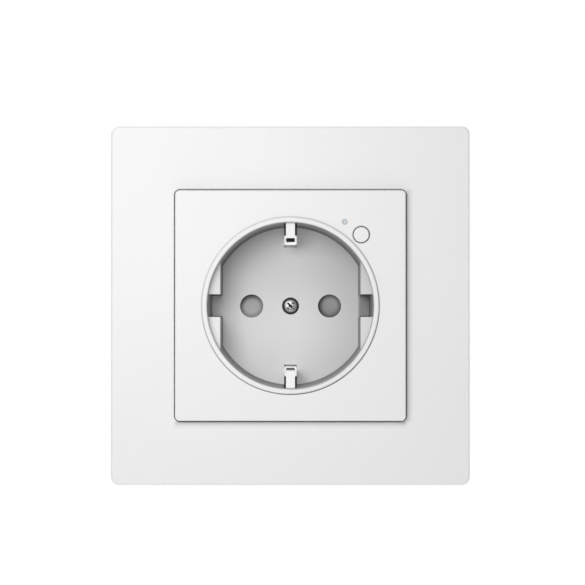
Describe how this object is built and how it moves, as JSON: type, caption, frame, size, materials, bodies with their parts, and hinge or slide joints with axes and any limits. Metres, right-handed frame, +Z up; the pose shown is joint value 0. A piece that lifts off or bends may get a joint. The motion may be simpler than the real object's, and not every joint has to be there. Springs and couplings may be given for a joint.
{
  "type": "metering wall socket outlet",
  "caption": "Flush square wall outlet with a round plug recess, side earthing clips, pin shutters, push button, lamp and a metering and switching board behind.",
  "frame": {"origin": "centre of the wall surface behind the outlet, on the axis of the plug recess", "axes": "+Y into the wall, +Z up, +X to the right as the user sees it"},
  "size_m": [0.086, 0.0435, 0.086],
  "materials": {
    "white_frame": "smooth glossy white moulding",
    "white_plate": "smooth glossy white moulding",
    "white_button": "smooth white moulding",
    "clear_pipe": "clear light pipe, unlit",
    "white_shutter": "low-friction moulding",
    "grey_base": "flame-retardant insulating moulding",
    "zinc_steel": "zinc-plated sheet steel",
    "screw_steel": "plated steel",
    "brass": "drawn or stamped brass",
    "clip_metal": "nickel-plated spring strip",
    "contact_metal": "stamped contact bronze",
    "board_green": "solder mask over glass laminate",
    "black_plastic": "moulded black plastic",
    "relay_plastic": "relay moulding",
    "copper_winding": "enamelled copper wire",
    "core_iron": "soft iron",
    "ferrite": "sintered ferrite",
    "tape_yellow": "winding under polyester tape",
    "capacitor_sleeve": "aluminium can in a shrink sleeve",
    "film_yellow": "epoxy-filled plastic box",
    "varistor_blue": "epoxy-dipped disc",
    "resistor_body": "coated fusible resistor",
    "shield_tin": "tin-plated shield can",
    "lamp_white": "chip lamp",
    "spring_steel": "drawn spring wire"
  },
  "bodies": {
    "outlet": {"cover_frame": "white_frame", "center_plate": "white_plate", "light_pipe": "clear_pipe", "center_screw": "screw_steel", "center_nut": "brass", "shutter_spring": "spring_steel", "shutter_cover": "white_shutter", "mounting_bracket": "zinc_steel", "bracket_screws": "screw_steel", "socket_base": "grey_base", "rear_housing": "grey_base", "housing_screws": "screw_steel", "line_contact": "contact_metal", "neutral_contact": "contact_metal", "line_busbar": "contact_metal", "earth_bow": "clip_metal", "main_board": "board_green", "control_board": "board_green", "board_header": "black_plastic", "tact_switch": "black_plastic", "status_led": "lamp_white", "relay_base": "relay_plastic", "relay_case": "relay_plastic", "relay_coil": "copper_winding", "relay_core": "core_iron", "relay_yoke": "core_iron", "relay_fixed_contact": "contact_metal", "transformer_core": "ferrite", "transformer_winding": "tape_yellow", "bulk_capacitor": "capacitor_sleeve", "film_capacitor": "film_yellow", "varistor": "varistor_blue", "fuse_resistor": "resistor_body", "radio_board": "board_green", "radio_shield": "shield_tin", "shunt_resistor": "zinc_steel", "metering_chip": "black_plastic", "converter_chip": "black_plastic", "chip_parts": "ferrite"},
    "button": {"button_cap": "white_button"},
    "switch_stem": {"tact_stem": "black_plastic"},
    "shutter_disc": {"shutter": "white_shutter"},
    "clip_upper": {"earth_clip_upper": "clip_metal"},
    "clip_lower": {"earth_clip_lower": "clip_metal"},
    "armature": {"relay_armature": "core_iron", "relay_blade": "contact_metal"},
    "screw_line": {"terminal_screw_line": "screw_steel"},
    "screw_neutral": {"terminal_screw_neutral": "screw_steel"},
    "screw_earth": {"terminal_screw_earth": "screw_steel"},
    "cage_line": {"terminal_cage_line": "zinc_steel"},
    "cage_neutral": {"terminal_cage_neutral": "zinc_steel"},
    "cage_earth": {"terminal_cage_earth": "zinc_steel"}
  },
  "joints": [
    {"name": "button_press", "type": "slide", "parent": "outlet", "child": "button", "axis": [0, 1, 0], "range_m": [0, 0.0004], "stiffness_N_per_m": 500},
    {"name": "switch_stem_travel", "type": "slide", "parent": "outlet", "child": "switch_stem", "axis": [0, 1, 0], "range_m": [0, 0.0004]},
    {"name": "shutter_turn", "type": "hinge", "parent": "outlet", "child": "shutter_disc", "pos_m": [0, 0.01, 0], "axis": [0, -1, 0], "range_deg": [0, 38], "stiffness_Nm_per_rad": 0.01, "deforming": ["shutter_spring"]},
    {"name": "clip_upper_flex", "type": "hinge", "parent": "outlet", "child": "clip_upper", "pos_m": [0, 0.01565, 0.016], "axis": [-1, 0, 0], "range_deg": [0, 4.6], "stiffness_Nm_per_rad": 1.5},
    {"name": "clip_lower_flex", "type": "hinge", "parent": "outlet", "child": "clip_lower", "pos_m": [0, 0.01565, -0.016], "axis": [1, 0, 0], "range_deg": [0, 4.6], "stiffness_Nm_per_rad": 1.5},
    {"name": "relay_armature_tilt", "type": "hinge", "parent": "outlet", "child": "armature", "pos_m": [0.0023, 0.0196, 0.0145], "axis": [0, 0, -1], "range_deg": [0, 2.6], "stiffness_Nm_per_rad": 0.05},
    {"name": "line_screw_turn", "type": "hinge", "parent": "outlet", "child": "screw_line", "pos_m": [0.0095, 0.0275, -0.02], "axis": [0, 0, 1], "range_deg": [0, 1080]},
    {"name": "line_cage_slide", "type": "slide", "parent": "outlet", "child": "cage_line", "axis": [0, 0, -1], "range_m": [0, 0.0021]},
    {"name": "neutral_screw_turn", "type": "hinge", "parent": "outlet", "child": "screw_neutral", "pos_m": [-0.0095, 0.0275, -0.02], "axis": [0, 0, 1], "range_deg": [0, 1080]},
    {"name": "neutral_cage_slide", "type": "slide", "parent": "outlet", "child": "cage_neutral", "axis": [0, 0, -1], "range_m": [0, 0.0021]},
    {"name": "earth_screw_turn", "type": "hinge", "parent": "outlet", "child": "screw_earth", "pos_m": [0, 0.0275, -0.02], "axis": [0, 0, 1], "range_deg": [0, 1080]},
    {"name": "earth_cage_slide", "type": "slide", "parent": "outlet", "child": "cage_earth", "axis": [0, 0, -1], "range_m": [0, 0.0021]}
  ],
  "couplings": [
    {"joint": "switch_stem_travel", "follows": "button_press", "ratio": 1},
    {"joint": "line_screw_turn", "follows": "line_cage_slide", "rad_per_m": 8976},
    {"joint": "neutral_screw_turn", "follows": "neutral_cage_slide", "rad_per_m": 8976},
    {"joint": "earth_screw_turn", "follows": "earth_cage_slide", "rad_per_m": 8976}
  ]
}
